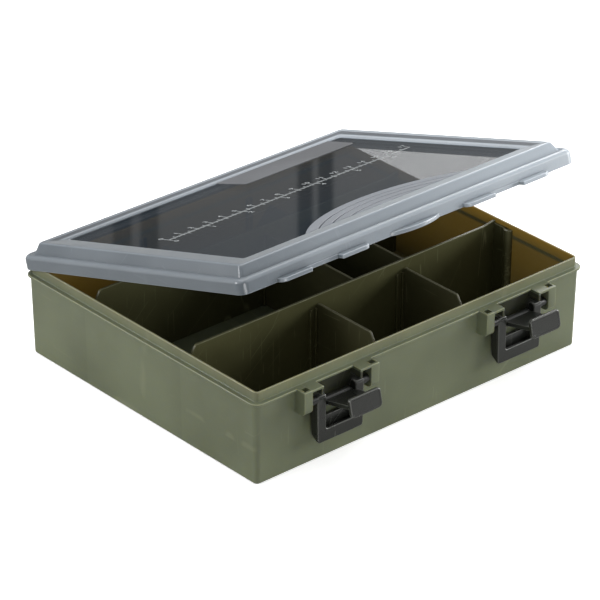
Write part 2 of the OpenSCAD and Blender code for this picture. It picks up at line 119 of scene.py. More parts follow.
# A flat piece with quarter-round edges: at angle a the outline shrinks by edge (1 - cos a) along its normals while
# its height moves by edge sin a. A recess of (rim, depth) sinks the upper face inside a rim.
def plate(outline, radii, low, high, edge=0.4, steps=4, cornerSteps=6, recess=None, wearAndSheen=1.0):
    radii = np.maximum(np.broadcast_to(np.asarray(radii, float), (len(outline),)), edge)
    path, normal, _, share = bentLine(outline, radii, True, cornerSteps)
    a = np.linspace(0, np.pi / 2, steps + 1)
    a = np.concatenate([a[::-1], a])
    below = np.arange(len(a)) <= steps
    shrink = edge * (1 - np.cos(a))
    height = np.where(below, low + edge - edge * np.sin(a), high - edge + edge * np.sin(a))
    wornAndSheen = np.maximum(np.sin(2 * a)[:, None], np.cos(a)[:, None] * np.sin(np.pi * share))
    if recess:
        rim, depth = recess
        shrink = np.append(shrink, [edge + rim, edge + rim + depth])
        height = np.append(height, [high, high - depth])
        wornAndSheen = np.concatenate([wornAndSheen, np.zeros((2, wornAndSheen.shape[1]))])
    flat = path[None] - normal[None] * shrink[:, None, None]
    grid = np.concatenate([flat, np.broadcast_to(height[:, None, None], flat.shape[:2] + (1,))], 2)
    return shell(grid, wearAndSheen * wornAndSheen)


# Turns a profile of (x, radius) about an axis along X: the point is (x, y0 + r cos a, z0 + r sin a).
def turned(profile, axisY=0.0, axisZ=0.0, middleX=0.0, steps=40):
    x, r = np.asarray(profile, float).T
    a = np.linspace(0, 2 * np.pi, steps, endpoint=False)
    around = [middleX + x[:, None] * np.ones_like(a), axisY + r[:, None] * np.cos(a), axisZ + r[:, None] * np.sin(a)]
    return shell(np.stack(around, 2))


def moved(piece, change):
    piece["grid"] = change(piece["grid"])
    return piece


def alongX(piece, x=0.0):  # stands a plate drawn in (Y, Z) up, with its height along X
    return moved(piece, lambda g: np.stack([g[..., 2] + x, g[..., 0], g[..., 1]], -1))


def alongY(piece, y=0.0):  # stands a plate drawn in (X, Z) up, with its height along Y
    return moved(piece, lambda g: np.stack([g[..., 0], g[..., 2] + y, g[..., 1]], -1))


def spun(points, angle, y0, z0):  # right-hand turn about the line along X through (y0, z0)
    y, z = points[..., 1] - y0, points[..., 2] - z0
    c, s = math.cos(angle), math.sin(angle)
    return np.stack([points[..., 0], y0 + y * c - z * s, z0 + y * s + z * c], -1)


def opened(points):  # from the closed lid to the lid as it stands at rest
    return spun(points, -lidOpen, hingeY, hingeZ)


def between(a, b):
    return min(a, b), max(a, b)


def newObject(name, data):
    obj = bpy.data.objects.new(name, data)
    bpy.context.scene.collection.objects.link(obj)
    return obj


# Puts the shells into one mesh. Quad (i, j) joins ring i to ring i + 1 and place j to place j + 1.
def makeMesh(name, shells, materials, body=None, sharp=38, weighted=True):
    faces, slots, start = [], [], 0
    for s in shells:
        m, n = s["grid"].shape[:2]
        index = start + np.arange(m * n).reshape(m, n)
        lower, upper = index[:-1], index[1:]
        quads = np.stack([lower, np.roll(lower, -1, 1), np.roll(upper, -1, 1), upper], -1).reshape(-1, 4)
        faces += quads.tolist() + [index[0, ::-1].tolist(), index[-1].tolist()]
        slots += [s["slots"][0]] * len(quads) + [s["slots"][1]] * 2
        start += m * n
    mesh = bpy.data.meshes.new(name)
    mesh.from_pydata((np.concatenate([s["grid"].reshape(-1, 3) for s in shells]) * mm).tolist(), [], faces)
    mesh.polygons.foreach_set("material_index", np.array(slots, np.int32))
    for label in ("wearAndSheen", "paintedLightShade"):
        values = np.concatenate([s[label].ravel() for s in shells]).astype(np.float32)
        mesh.attributes.new(label, "FLOAT", "POINT").data.foreach_set("value", values)
    work = bmesh.new()
    work.from_mesh(mesh)
    bmesh.ops.remove_doubles(work, verts=work.verts, dist=2e-6)
    bmesh.ops.recalc_face_normals(work, faces=work.faces)
    work.to_mesh(mesh)
    work.free()
    mesh.shade_smooth()
    mesh.set_sharp_from_angle(angle=math.radians(sharp))
    obj = newObject(name, mesh)
    for m in materials:
        mesh.materials.append(m)
    if weighted:
        obj.modifiers.new("weighted", "WEIGHTED_NORMAL").keep_sharp = True
    if body:
        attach(obj, body)
    return obj


def newMaterial(name):  # the material, its node tree and its shader
    material = bpy.data.materials.new(name)
    material.use_nodes = True
    return material, material.node_tree, material.node_tree.nodes["Principled BSDF"]


def setPlain(surface, values):  # values that are the same all over stand on the shader's own sockets
    for label, value in values.items():
        surface.inputs[label].default_value = value


def newGroup(name, inputs, outputs):  # inputs are (name, kind, default), outputs are (name, kind)
    tree = bpy.data.node_groups.new(name, "ShaderNodeTree")
    for label, kind, default in inputs:
        tree.interface.new_socket(label, in_out="INPUT", socket_type=kind).default_value = default
    for label, kind in outputs:
        tree.interface.new_socket(label, in_out="OUTPUT", socket_type=kind)
    return tree, tree.nodes.new("NodeGroupInput"), tree.nodes.new("NodeGroupOutput")


def add(tree, kind, inputs=None, **settings):  # a node with its settings, its values and its links
    node = tree.nodes.new(kind)
    for key, value in settings.items():
        setattr(node, key, value)
    for key, value in (inputs or {}).items():
        if isinstance(value, bpy.types.NodeSocket):
            tree.links.new(value, node.inputs[key])
        else:
            node.inputs[key].default_value = value
    return node


def calc(tree, operation, a, b=0.0):
    return add(tree, "ShaderNodeMath", {0: a, 1: b}, operation=operation).outputs[0]


def product(tree, first, *others):
    for value in others:
        first = calc(tree, "MULTIPLY", first, value)
    return first


def greatest(tree, first, *others):
    for value in others:
        first = calc(tree, "MAXIMUM", first, value)
    return first


def ramp(tree, value, low, high, start=0.0, end=1.0):
    limits = {"Value": value, "From Min": low, "From Max": high, "To Min": start, "To Max": end}
    return add(tree, "ShaderNodeMapRange", limits).outputs[0]


def noise(tree, place, scale, detail=2.0):
    return add(tree, "ShaderNodeTexNoise", {"Vector": place, "Scale": scale, "Detail": detail}).outputs["Fac"]


def placed(tree, place, **settings):  # the place turned, moved and drawn out, as a texture is
    return add(tree, "ShaderNodeMapping", {"Vector": place, **settings}, vector_type="TEXTURE").outputs[0]


def tint(tree, factor, a, b):
    return add(tree, "ShaderNodeMix", {"Factor": factor, "A": a, "B": b}, data_type="RGBA").outputs["Result"]


waveScale = 22.0


def mouldedGrain():  # fine grain over slow waves, as a height, and the waves alone
    tree, start, end = newGroup("mouldedGrain", [("Place", "NodeSocketVector", (0, 0, 0)),
                                ("Size", "NodeSocketFloat", 900.0), ("Waves", "NodeSocketFloat", 0.3)],
                                [("Height", "NodeSocketFloat"), ("Mottle", "NodeSocketFloat")])
    grain = noise(tree, start.outputs["Place"], start.outputs["Size"], 3.0)
    waves = noise(tree, start.outputs["Place"], waveScale, 3.0)
    height = calc(tree, "ADD", grain, product(tree, waves, start.outputs["Waves"]))
    tree.links.new(height, end.inputs["Height"])
    tree.links.new(waves, end.inputs["Mottle"])
    return tree


# scratches run across the turned direction, and show where a second noise rises past the kept values
scratches = {"turns": ((1.571, 0.85, 0), (1.571, 0.55, 0), (0.9, 0, 0), (-0.7, 0, 0), (0, 0, 1.0)), "scale": 70.0,
             "width": 0.006, "length": 26.0, "patchScale": 91.0, "patchLength": 3.64, "patchMove": (0.3, 0.1, 0.2),
             "kept": (0.60, 0.70)}
nicks = {"fine": 650.0, "coarse": 60.0, "coarseShare": 0.8, "kept": (0.98, 1.12)}


# Scratches are the thin zero line of a noise that changes along one direction only, kept in a few places by a second
# one. Nicks are specks that stand only where the Edge value is high.
def handlingMarks():
    tree, start, end = newGroup("handlingMarks", [("Place", "NodeSocketVector", (0, 0, 0)),
                                ("Amount", "NodeSocketFloat", 0.3), ("Edge", "NodeSocketFloat", 0.0)],
                                [("Scratches", "NodeSocketFloat"), ("Nicks", "NodeSocketFloat")])
    place, d = start.outputs["Place"], scratches
    total = None
    for turn in d["turns"]:
        sheets = placed(tree, place, Rotation=turn, Scale=(1.0, d["length"], d["length"]))
        patches = placed(tree, place, Rotation=turn, Scale=(1.0, d["patchLength"], 1.0), Location=d["patchMove"])
        near = calc(tree, "ABSOLUTE", calc(tree, "SUBTRACT", noise(tree, sheets, d["scale"], 0.0), 0.5))
        kept = product(tree, ramp(tree, near, 0.0, d["width"], 1.0, 0.0),
                       ramp(tree, noise(tree, patches, d["patchScale"], 0.0), *d["kept"]))
        total = kept if total is None else greatest(tree, total, kept)
    tree.links.new(product(tree, total, start.outputs["Amount"]), end.inputs["Scratches"])
    specks = calc(tree, "ADD", noise(tree, place, nicks["fine"]),
                  product(tree, noise(tree, place, nicks["coarse"]), nicks["coarseShare"]))
    tree.links.new(product(tree, ramp(tree, specks, *nicks["kept"]), start.outputs["Edge"]), end.inputs["Nicks"])
    return tree


grainGroup = mouldedGrain()
marksGroup = handlingMarks()
# the edge lightening along worn edges is partly wear and partly painted edge highlight
plainFinish = {"rough": 0.42, "roughSpread": 0.06, "grain": 900.0, "waves": 0.3, "bump": 0.05, "bumpDepth": 0.0004,
               "scratches": 0.3, "nicks": 0.6, "markRough": 0.2, "markDepth": 0.5, "edgeLift": 0.12, "mottle": 0.10,
               "specular": 0.5, "alpha": 1.0, "coat": 0.0, "coatRough": 0.12, "under": None, "through": None,
               "lit": None, "mottleSpan": (0.35, 0.65), "roughSpan": (0.3, 0.7)}


# A moulded plastic. Slow mottle shifts its colour, and worn edges and marks lighten it; the lightened edges are partly
# wear and partly painted edge highlight. Where the glow attribute is high a painted colour takes over: painted light
# coming through the wall on the tub, painted dark lines on the lid, with painted glow sent out as emission where given.
# The tone may shift the colour by place; it paints shade on the olive and light on the lid.
def plastic(name, color, markAndSheenColor, tone=None, **changes):
    f = {**plainFinish, **changes}
    material, tree, surface = newMaterial(name)
    place = add(tree, "ShaderNodeTexCoord").outputs["Object"]
    wearAndSheen = add(tree, "ShaderNodeAttribute", attribute_name="wearAndSheen").outputs["Fac"]
    texture = add(tree, "ShaderNodeGroup", {}, node_tree=grainGroup)
    handled = add(tree, "ShaderNodeGroup", {}, node_tree=marksGroup)
    for group in (texture, handled):
        tree.links.new(place, group.inputs["Place"])
    tree.links.new(wearAndSheen, handled.inputs["Edge"])
    texture.inputs["Size"].default_value = f["grain"]
    texture.inputs["Waves"].default_value = f["waves"]
    handled.inputs["Amount"].default_value = f["scratches"]
    darker, lighter = (tuple(min(1, c * k) for c in color) + (1,) for k in (1 - f["mottle"], 1 + f["mottle"]))
    base = tint(tree, ramp(tree, texture.outputs["Mottle"], *f["mottleSpan"]), darker, lighter)
    if tone:
        base = tone(tree, place, base)
    if f["through"]:
        paintedLightShade = add(tree, "ShaderNodeAttribute", attribute_name="paintedLightShade").outputs["Fac"]
        base = tint(tree, paintedLightShade, base, f["through"] + (1,))
        if f["lit"]:
            tree.links.new(tint(tree, paintedLightShade, (0, 0, 0, 1), f["lit"] + (1,)), surface.inputs["Emission Color"])
            surface.inputs["Emission Strength"].default_value = 1.0
    marked = greatest(tree, handled.outputs["Scratches"], product(tree, handled.outputs["Nicks"], f["nicks"]))
    # edges lighten where worn: partly wear, partly painted edge highlight
    lifted = greatest(tree, marked, product(tree, wearAndSheen, f["edgeLift"]))
    tree.links.new(tint(tree, lifted, base, markAndSheenColor + (1,)), surface.inputs["Base Color"])
    smooth, coarse = f["rough"] - f["roughSpread"], f["rough"] + f["roughSpread"]
    rough = ramp(tree, texture.outputs["Mottle"], *f["roughSpan"], smooth, coarse)
    rough = calc(tree, "ADD", rough, product(tree, marked, f["markRough"]))
    tree.links.new(rough, surface.inputs["Roughness"])
    height = calc(tree, "SUBTRACT", texture.outputs["Height"], product(tree, marked, f["markDepth"]))
    relief = add(tree, "ShaderNodeBump", {"Height": height, "Strength": f["bump"], "Distance": f["bumpDepth"]})
    tree.links.new(relief.outputs[0], surface.inputs["Normal"])
    plain = {"Specular IOR Level": f["specular"], "Alpha": f["alpha"], "Coat Weight": f["coat"],
             "Coat Roughness": f["coatRough"]}
    setPlain(surface, {**plain, **(f["under"] or {})})
    return material


def softLight(weight, radius, scale):  # how light spreads under the surface
    return {"Subsurface Weight": weight, "Subsurface Radius": radius, "Subsurface Scale": scale}


drawn = {"lines": 400.0, "stretch": (1, 30, 30), "rough": (0.22, 0.42), "dark": (0.5, 0.5, 0.51, 1),
         "light": (0.66, 0.66, 0.67, 1)}


def steel(name):  # drawn wire: bright metal with fine lines round it
    material, tree, surface = newMaterial(name)
    place = add(tree, "ShaderNodeTexCoord").outputs["Object"]
    stretched = add(tree, "ShaderNodeMapping", {"Vector": place, "Scale": drawn["stretch"]}).outputs[0]
    lines = noise(tree, stretched, drawn["lines"], 3.0)
    tree.links.new(ramp(tree, lines, 0.0, 1.0, *drawn["rough"]), surface.inputs["Roughness"])
    tree.links.new(tint(tree, lines, drawn["dark"], drawn["light"]), surface.inputs["Base Color"])
    surface.inputs["Metallic"].default_value = 1.0
    return material


# Painted shade of faint sink marks on the tub's left wall, where the long partitions join it: just behind each place
# the wall's colour darkens a little, as the sum of two saw teeth of width reach.
sinkMarkShade = {"places": (44.9, -33.7), "reach": 9.0, "depth": 0.10, "wallX": -111.0, "color": (0.02, 0.02, 0.01, 1)}
# painted shade on the front wall between each pair of ears, behind the latch
earGapShade = {"half": 20.0, "soft": 2.0, "low": 21.0, "rise": 15.0, "high": 46.5, "depth": 0.85, "wallY": -92.0,
               "color": (0.010, 0.010, 0.005, 1)}


# paints shade onto the olive: at the sink marks on the left wall and between the ears
def sunkTone(tree, place, base):
    d = sinkMarkShade
    x, y, z = add(tree, "ShaderNodeSeparateXYZ", {"Vector": place}).outputs
    total = None
    for start in d["places"]:
        behind = calc(tree, "GREATER_THAN", y, start * mm)
        tooth = product(tree, ramp(tree, y, start * mm, (start + d["reach"]) * mm, 1.0, 0.0), behind)
        total = tooth if total is None else calc(tree, "ADD", total, tooth)
    onWall = calc(tree, "LESS_THAN", x, d["wallX"] * mm)
    base = tint(tree, product(tree, total, onWall, d["depth"]), base, d["color"])
    # painted shade: the front wall is painted darker between each pair of ears, from the flange down, where shade falls
    # behind the latch
    d = earGapShade
    aside = calc(tree, "ABSOLUTE", calc(tree, "SUBTRACT", calc(tree, "ABSOLUTE", x), leverX * mm))
    dark = product(tree, ramp(tree, aside, (d["half"] - d["soft"]) * mm, d["half"] * mm, d["depth"], 0.0),
                   ramp(tree, z, d["low"] * mm, (d["low"] + d["rise"]) * mm),
                   calc(tree, "LESS_THAN", z, d["high"] * mm), calc(tree, "LESS_THAN", y, d["wallY"] * mm))
    return tint(tree, dark, base, d["color"])


# the lighter colour that the painted light reaches at the lid's right end
paintedLightEnd = {"share": 0.68, "color": (0.46, 0.51, 0.56, 1)}


# Painted light on the lid's frosted plastic: its colour turns lighter from the left end to the right, evenly from one
# end to the other, standing for light falling from the right.
def clearerRight(tree, place, base):
    x = add(tree, "ShaderNodeSeparateXYZ", {"Vector": place}).outputs["X"]
    return tint(tree, ramp(tree, x, tubLow.x, tubHigh.x, 0.0, paintedLightEnd["share"]), base, paintedLightEnd["color"])


# the shell's olive: its glow colour and emission paint the amber light that comes through the wall, and its tone paints
# shade
olive = plastic("oliveShell", (0.127, 0.143, 0.086), (0.38, 0.39, 0.26), tone=sunkTone, rough=0.38, bump=0.10,
                scratches=0.12, nicks=0.7, edgeLift=0.34, through=(0.15, 0.10, 0.02), lit=(0.088, 0.052, 0.007),
                under=softLight(0.3, (1.0, 0.72, 0.16), 0.002))
# the partitions, ribs and loose dividers get darker copies of the shell's olive: painted shade for the inside of the
# tub
oliveInsideShade = plastic("olivePartitionShade", (0.066, 0.066, 0.028), (0.30, 0.30, 0.17), rough=0.34, bump=0.09,
                      scratches=0.4, nicks=0.8, edgeLift=0.30)
oliveLooseShade = plastic("oliveDividerShade", (0.070, 0.069, 0.032), (0.30, 0.30, 0.18), rough=0.36, bump=0.09,
                     scratches=0.4, nicks=0.7, edgeLift=0.32)
frosted = plastic("frostedFrame", (0.112, 0.131, 0.148), (0.62, 0.67, 0.72), tone=clearerRight, rough=0.34,
                  bump=0.07, scratches=0.05, nicks=0.25, edgeLift=0.30, mottle=0.04, coat=0.3,
                  through=(0.05, 0.056, 0.066), under=softLight(0.35, (0.9, 1.0, 1.1), 0.003))
smoked = plastic("smokedWindow", (0.029, 0.038, 0.048), (0.30, 0.32, 0.33), rough=0.02, roughSpread=0.005, grain=300.0,
                 bump=0.0002, scratches=0.04, nicks=0.0, mottle=0.04, alpha=0.64)
arcFrost = plastic("arcFrost", (0.20, 0.215, 0.24), (0.5, 0.53, 0.56), rough=0.42, bump=0.07, scratches=0.1,
                   nicks=0.1, mottle=0.04, edgeLift=0.3)
padFrost = plastic("padFrost", (0.122, 0.127, 0.137), (0.5, 0.52, 0.53), rough=0.45, bump=0.09, scratches=0.15,
                   nicks=0.1, alpha=0.9)
rulerMark = plastic("rulerMark", (0.36, 0.38, 0.38), (0.6, 0.6, 0.6), rough=0.5, scratches=0.0)
satinBlack = plastic("satinBlack", (0.011, 0.012, 0.010), (0.27, 0.28, 0.25), rough=0.28, bump=0.10, scratches=0.12,
                     nicks=0.4, edgeLift=0.22, specular=0.65)
wire = steel("drawnWire")
print("materials made:", len(bpy.data.materials))


# insets run inwards from the flange's edge; the glow rows give the painted glow of the inner wall at each height,
# standing for light that comes through the wall
tub = {"halfW": tubHigh.x / mm, "halfD": 95.3, "cornerR": 5.2, "flangeZ": 48.0, "flangeT": 1.4, "wallIn": 1.6,
       "footIn": 2.6, "innerTop": 4.0, "innerFoot": 4.6, "floorT": 2.0, "footR": 1.2, "rimTop": tubHigh.z / mm,
       "rimIn": 2.8, "floorFillet": 1.4, "middle": 40.0, "innerLit": 47.0, "nearLit": 0.15,
       "paintedLightShade": ((48.4, 0.6), (47.6, 0.1), (46.4, 0.1), (45.2, 0.55), (36.0, 0.5), (18.0, 0.25))}


# The wall's section is carried round the box, and the floor and the underside close it in the middle.
def addTub():
    t = tub
    under = t["flangeZ"] - t["flangeT"]
    points = [(t["middle"], 0), (t["footIn"], 0), (t["wallIn"], under), (0, under), (0, t["flangeZ"]),
              (t["rimIn"], t["flangeZ"]), (t["rimIn"], t["rimTop"]), (t["innerTop"], t["rimTop"])]
    radii = [0, t["footR"], 0.5, 0.45, 0.45, 0.4, 0.58, 0.58]
    # how much each bend lightens: partly wear, partly painted edge highlight
    edgeWearAndSheen = [0, 0.2, 0, 0.5, 0.9, 0, 0.9, 0.9]
    paintedLightShade = [0, 0, 0, 0, 0, 0, 0.9, 1.0]
    slope = (t["innerFoot"] - t["innerTop"]) / (t["rimTop"] - t["floorT"])
    for z, lit in t["paintedLightShade"]:
        points.append((t["innerTop"] + slope * (t["rimTop"] - z), z))
        paintedLightShade.append(lit)
    points += [(t["innerFoot"], t["floorT"]), (t["middle"], t["floorT"])]
    extra = len(points) - len(radii)
    radii += [0] * (extra - 2) + [t["floorFillet"], 0]
    edgeWearAndSheen += [0] * extra
    paintedLightShade += [0.05, 0]
    line, _, which, share = bentLine(points, radii)
    # painted glow on the inner wall and rim, full on the back and right sides above innerLit
    lit = np.array(paintedLightShade)[which][:, None] * np.where(line[:, 1:] > t["innerLit"], farSides(t["nearLit"]), 1.0)
    wornAndSheen = np.array(edgeWearAndSheen)[which] * np.sin(np.pi * share)
    ring = shell(carried(line, t["halfW"], t["halfD"], t["cornerR"]), wornAndSheen, lit)
    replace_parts(makeMesh("tubShell", [ring], [olive], "tub_body"), "tub")


partitions = {"top": 51.0, "thick": 1.6, "frontY": -30.0, "rearY": 49.0, "endX": 112.0, "cutRun": 11.0, "cutDrop": 19.0,
              "riseRun": 8.0, "rise": 1.4, "rib": 1.2, "ribTop": 44.0, "guide": 1.5, "spare": 5.4, "postR": 2.8,
              "postGap": 11.4, "wallX": 111.4, "foot": 1.9, "into": 112.2, "ribDepth": 0.3, "wallRibDepth": 0.8}
dividers = {"top": 46.6, "thick": 1.5, "foot": 2.02, "cutRun": 18.0, "cutDrop": 28.0, "fit": 0.15,
            "front": (-18, 44), "middle": (14, 50), "rear": (-38, 38)}


def addPartitions():  # the two long walls moulded across the tub
    p = partitions
    outline = [(-p["endX"], p["foot"]), (p["endX"], p["foot"]), (p["endX"], p["top"] + p["rise"]),
               (p["endX"] - p["riseRun"], p["top"]), (p["cutRun"] - p["endX"], p["top"]),
               (-p["endX"], p["top"] - p["cutDrop"])]
    half = p["thick"] / 2
    walls = [alongY(plate(outline, [0.5, 0.5, 0.5, 5, 2.5, 0.5], -half, half, 0.35), y)
             for y in (p["frontY"], p["rearY"])]
    makeMesh("longPartitions", walls, [oliveInsideShade], "tub_body")


def ribAt(x, y, way, depth):  # a guide rib with a rounded nose, standing out of the wall at y
    p = partitions
    near, far = between(y - way * depth, y + way * p["rib"])
    left, right = x - p["rib"] / 2, x + p["rib"] / 2
    outline = [(left, near), (right, near), (right, far), (left, far)]
    return plate(outline, 0.35, p["foot"], p["ribTop"], 0.3, 3, 3, wearAndSheen=0.5)


def addRibs():
    p = partitions
    half = p["thick"] / 2
    wall = tub["halfD"] - tub["innerFoot"]
    thin, thick = p["ribDepth"], p["wallRibDepth"]
    faces = {"front": ((p["frontY"] - half, -1, thin), (-wall, 1, thick)),
             "middle": ((p["frontY"] + half, 1, thin), (p["rearY"] - half, -1, thin)),
             "rear": ((p["rearY"] + half, 1, thin), (wall, -1, thick))}
    pieces = [ribAt(x + s * p["guide"], *face) for row in faces for x in dividers[row] for s in (-1, 1)
              for face in faces[row]]
    pieces += [ribAt(x - p["spare"], *faces["front"][0]) for x in dividers["front"]]
    y, nose = p["frontY"] - p["postGap"], p["wallX"] - p["postR"]
    post = [(p["into"], y - p["postR"]), (p["into"], y + p["postR"]), (nose, y + p["postR"]), (nose, y - p["postR"])]
    pieces.append(plate(post, [0.4, 0.4, 2.6, 2.6], p["foot"], p["top"], 0.4))
    land = [(p["wallX"] - 1, y), (p["into"], y), (p["into"], p["frontY"]), (p["wallX"] - 1, p["frontY"])]
    pieces.append(plate(land, 0.3, p["foot"], p["top"], 0.3))
    makeMesh("guideRibs", pieces, [oliveInsideShade], "tub_body")


def addDividers():  # six loose cross plates; a front or rear one has its outer top corner cut
    d, p = dividers, partitions
    half = p["thick"] / 2
    wall = tub["halfD"] - tub["innerFoot"]
    rows = (("front", -wall, p["frontY"] - half, -1), ("middle", p["frontY"] + half, p["rearY"] - half, 0),
            ("rear", p["rearY"] + half, wall, 1))
    for row, low, high, cut in rows:
        a, b = low + d["fit"], high - d["fit"]
        cutZ = d["top"] - d["cutDrop"]
        back = [(b, cutZ), (b - d["cutRun"], d["top"])] if cut > 0 else [(b, d["top"])]
        front = [(a + d["cutRun"], d["top"]), (a, cutZ)] if cut < 0 else [(a, d["top"])]
        outline = [(a, d["foot"]), (b, d["foot"])] + back + front
        radii = [0.5, 0.5] + [1.6] * (len(outline) - 2)
        for side, x in zip(("left", "right"), d[row]):
            wallPlate = alongX(plate(outline, radii, -d["thick"] / 2, d["thick"] / 2, 0.4), x)
            obj = makeMesh(row + side.capitalize() + "Divider", [wallPlate], [oliveLooseShade], "tub_body")
            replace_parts(obj, row + "_divider_" + side)


ears = {"halfW": 25.3, "web": 5.5, "out": 6.2, "high": 13.7, "cornerR": 3.0, "lipX": 12.5, "lipT": 1.3, "lipH": 5.1,
        "coreW": 3.5, "coreX": 22.35, "coreY": 98.4, "coreFloor": 43.0, "bore": 1.98, "boreEnd": 24.1, "edge": 0.5,
        "round": 0.45, "cornerWearAndSheen": 0.6, "sharp": 32}


# A side web of an ear, as rectangles stacked upwards: the front rises along a quarter circle at the foot, the top
# edge turns inwards by edge (1 - cos a), and the last rings go down into the square core hole.
def earWeb(middle, s):
    e = ears
    x0, x1 = between(middle + s * (e["halfW"] - e["web"]), middle + s * e["halfW"])
    front, back = -tub["halfD"] - e["out"], tub["rimIn"] + 0.4 - tub["halfD"]
    top, low = tub["flangeZ"] + 0.02, tub["flangeZ"] - e["high"]
    a = np.linspace(0, np.pi / 2, 7)
    rings = [(x0, x1, front + e["cornerR"] * (1 - math.sin(k)), back, low + e["cornerR"] * (1 - math.cos(k)))
             for k in a]
    rings += [(x0 + w, x1 - w, front + w, back, top - e["edge"] * (1 - math.sin(k)))
              for k in a for w in [e["edge"] * (1 - math.cos(k))]]
    outerRings = len(rings) - 2  # the rings whose corners show wear
    c, w = middle + s * e["coreX"], e["coreW"] / 2
    rings += [(c - w, c + w, -e["coreY"] - w, w - e["coreY"], z) for z in (top, top - 0.3, e["coreFloor"])]
    layers = []
    for left, right, near, far, z in rings:
        path, _, _, share = bentLine([(left, near), (right, near), (right, far), (left, far)], e["round"], True, 4)
        layers.append(np.column_stack([path, np.full(len(path), z)]))
    # the top edge and the outer corners lighten: partly wear, partly painted edge highlight
    alongTop = np.concatenate([np.zeros(7), np.sin(2 * a), np.zeros(3)])[:, None]
    atCorners = e["cornerWearAndSheen"] * (np.arange(len(rings)) < outerRings)[:, None] * np.sin(np.pi * share)
    return shell(np.stack(layers), np.maximum(alongTop, atCorners))


def cutWith(obj, cutter):  # takes the cutter's shape out of a piece for good
    modifier = obj.modifiers.new("cut", "BOOLEAN")
    modifier.operation = "DIFFERENCE"
    modifier.object = cutter
    mesh = bpy.data.meshes.new_from_object(obj.evaluated_get(bpy.context.evaluated_depsgraph_get()))
    obj.modifiers.clear()
    old, obj.data = obj.data, mesh
    bpy.data.meshes.remove(old)
    bpy.data.objects.remove(cutter)


def addEars():  # each pair has two side webs with blind bores, two short inner webs, and a plate over each side
    e = ears
    front, top, into = -tub["halfD"] - e["out"], tub["flangeZ"], tub["rimIn"] + 0.4 - tub["halfD"]
    for side, middle in (("left", -leverX), ("right", leverX)):
        both = [earWeb(middle, s) for s in (-1, 1)]
        webs = makeMesh(side + "EarWebs", both, [olive], "tub_body", e["sharp"], False)
        bore = turned([(-e["boreEnd"], e["bore"]), (e["boreEnd"], e["bore"])], leverY, leverZ, middle)
        cutWith(webs, makeMesh("bore", [bore], [olive], weighted=False))
        webs.data.shade_smooth()
        webs.data.set_sharp_from_angle(angle=math.radians(e["sharp"]))
        pieces = []
        for s in (-1, 1):
            x0, x1 = between(middle + s * e["lipX"], middle + s * (e["lipX"] + e["lipT"]))
            wall = [(front, top - e["lipH"]), (into, top - e["lipH"]), (into, top - 0.3), (front, top - 0.3)]
            pieces.append(alongX(plate(wall, 0.4, x0, x1, 0.35, wearAndSheen=0.6)))
            x0, x1 = between(middle + s * e["lipX"], middle + s * (e["halfW"] - e["web"] + 0.6))
            over = [(x0, front), (x1, front), (x1, into), (x0, into)]
            pieces.append(plate(over, 0.4, top - tub["flangeT"] + 0.02, top + 0.01, 0.35, wearAndSheen=0.8))
        makeMesh(side + "EarPlates", pieces, [olive], "tub_body")


hinges = {"x": 63.4, "r": 3.3, "lidL": 22.0, "tubL": 9.0, "gap": 0.6, "arm": 13.7, "strap": 5.4,
          "tubFrom": -36.87, "tubTo": 172.0, "lidFrom": 167.75, "lidTo": 433.74}


def knuckle(angles, start, end, length, x):  # a stretch of the hinge's circle, joined to its arm's points
    a = np.radians(np.linspace(*angles, 25))
    circle = np.stack([hingeY + hinges["r"] * np.cos(a), hingeZ + hinges["r"] * np.sin(a)], 1).tolist()
    return alongX(plate([start] + circle + [end], 0.4, -length / 2, length / 2, 0.4, 4, 1, wearAndSheen=0.5), x)


def addTubKnuckles():
    h = hinges
    wall = tub["halfD"] - tub["wallIn"] - 0.5
    reach = (h["lidL"] + h["tubL"]) / 2 + h["gap"]
    pieces = [knuckle((h["tubFrom"], h["tubTo"]), (wall, tub["flangeZ"] - h["arm"]), (wall, tub["flangeZ"]), h["tubL"],
                      side * h["x"] + s * reach) for side in (-1, 1) for s in (-1, 1)]
    makeMesh("tubKnuckles", pieces, [olive], "tub_body")


addTub()
addPartitions()
addRibs()
addDividers()
addEars()
addTubKnuckles()
print("tub and dividers made")

# the lines hold, for the frame's far sides, an inset with its painted highlight line and its painted shade line
lid = {"skirtIn": 0.3, "thick": 1.8, "skirtZ": 48.3, "ledgeZ": 56.4, "skirtR": 2.4, "frameIn": 4.6, "crestIn": 8.0,
       "crestW": 1.0, "crestZ": 61.7, "windowIn": 19.5, "windowZ": 60.2, "tabW": 19.6, "tabGap": 20.2, "tabOut": 4.6,
       "tabT": 2.2, "lipW": 34.0, "stripOut": 0.4, "sunk": 1.0, "step": 0.45, "groove": 0.6,
       "lines": ((18.4, 0.1, 0.1), (17.2, 0.9, 0), (16.2, 0.9, 0), (15.2, 0, 0.8), (11.8, 0, 0.8), (11.0, 0.6, 0),
                 (10.2, 0.6, 0), (9.7, 0, 0.3))}


def lidPiece(name, shells, materials):
    return makeMesh(name, [moved(s, opened) for s in shells], materials, "lid_body")
